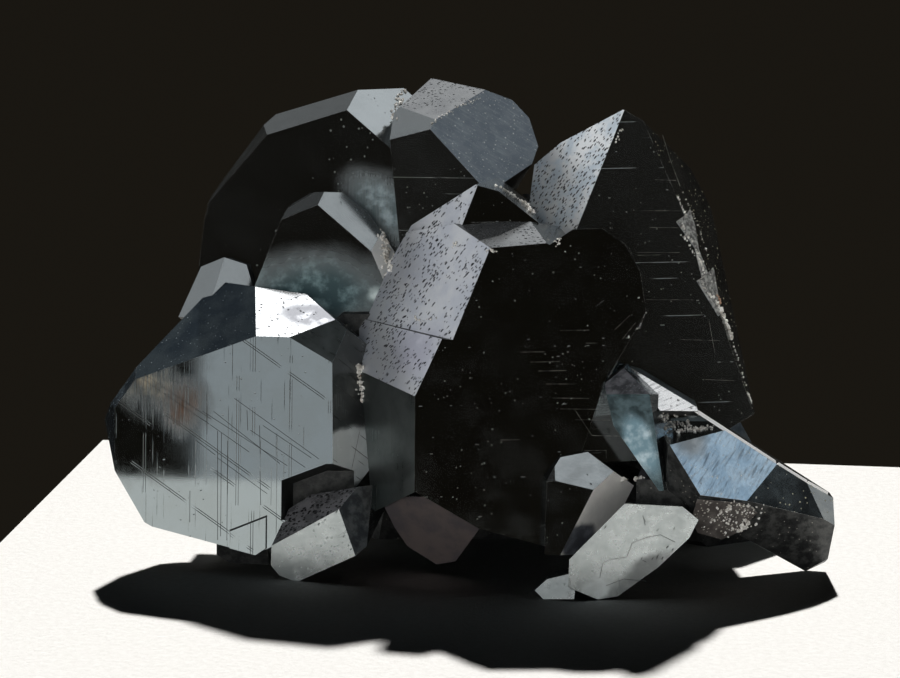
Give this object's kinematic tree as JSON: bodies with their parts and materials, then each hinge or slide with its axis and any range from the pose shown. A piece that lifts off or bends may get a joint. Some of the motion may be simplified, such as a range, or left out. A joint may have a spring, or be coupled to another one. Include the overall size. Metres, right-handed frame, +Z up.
{
  "type": "hematite crystal specimen",
  "caption": "Free-standing cluster of thick tabular hematite crystals with black mirror faces and paler bevels.",
  "frame": {"origin": "middle of the footprint's box, on the surface the specimen rests on", "axes": "+X to the right along the row of crystals, -Y out of the front faces, +Z up"},
  "size_m": [0.0738, 0.0404, 0.047],
  "materials": {
    "hematite": "polished"
  },
  "bodies": {
    "root": {"hematite_cluster": "hematite"}
  },
  "joints": []
}
